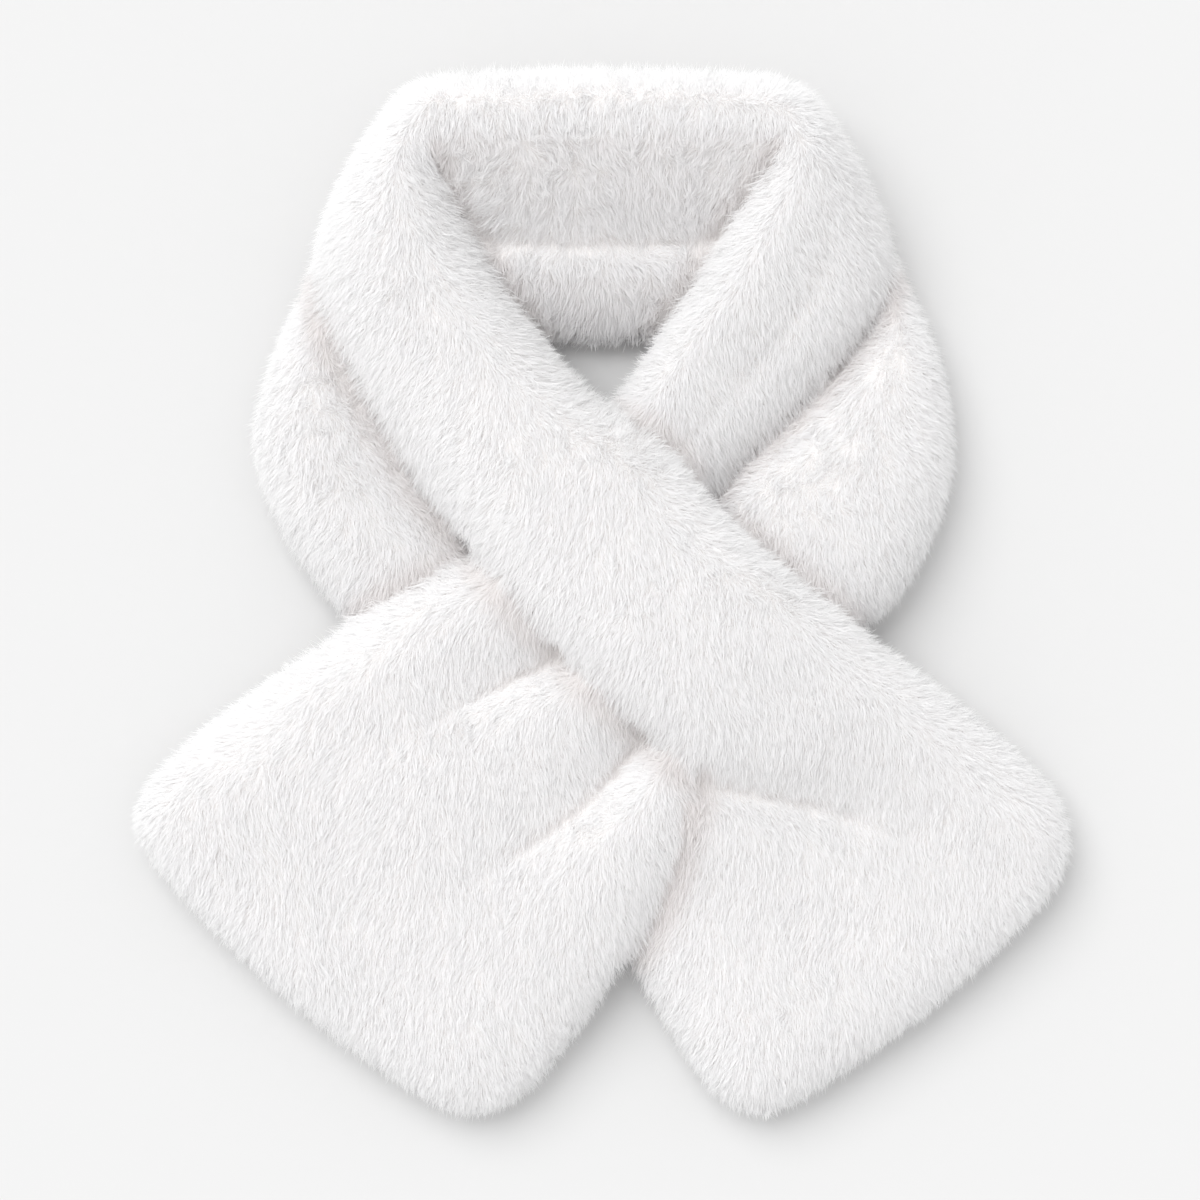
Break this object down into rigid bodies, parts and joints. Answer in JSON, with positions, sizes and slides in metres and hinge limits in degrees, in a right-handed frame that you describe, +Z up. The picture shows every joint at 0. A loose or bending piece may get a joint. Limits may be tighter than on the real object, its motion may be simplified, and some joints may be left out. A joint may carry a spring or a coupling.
{
  "type": "fur collar wrap",
  "caption": "Long-pile fur collar wrap laid flat: a padded strip wound into a neck loop, one end drawn through a slit below the other's roll, both ends fanned out.",
  "frame": {"origin": "on the table, under the middle of the wrap's plan", "axes": "+Z up from the table, +Y towards the neck's back edge, +X to the right as seen from above with the neck at the top"},
  "size_m": [0.3452, 0.3834, 0.063],
  "materials": {
    "fur": "white long-pile fur"
  },
  "bodies": {
    "root": {"neck_back": "fur", "roll_left": "fur", "drape_left": "fur", "roll_right": "fur", "drape_right": "fur", "tail_left": "fur", "tail_right": "fur"}
  },
  "joints": []
}
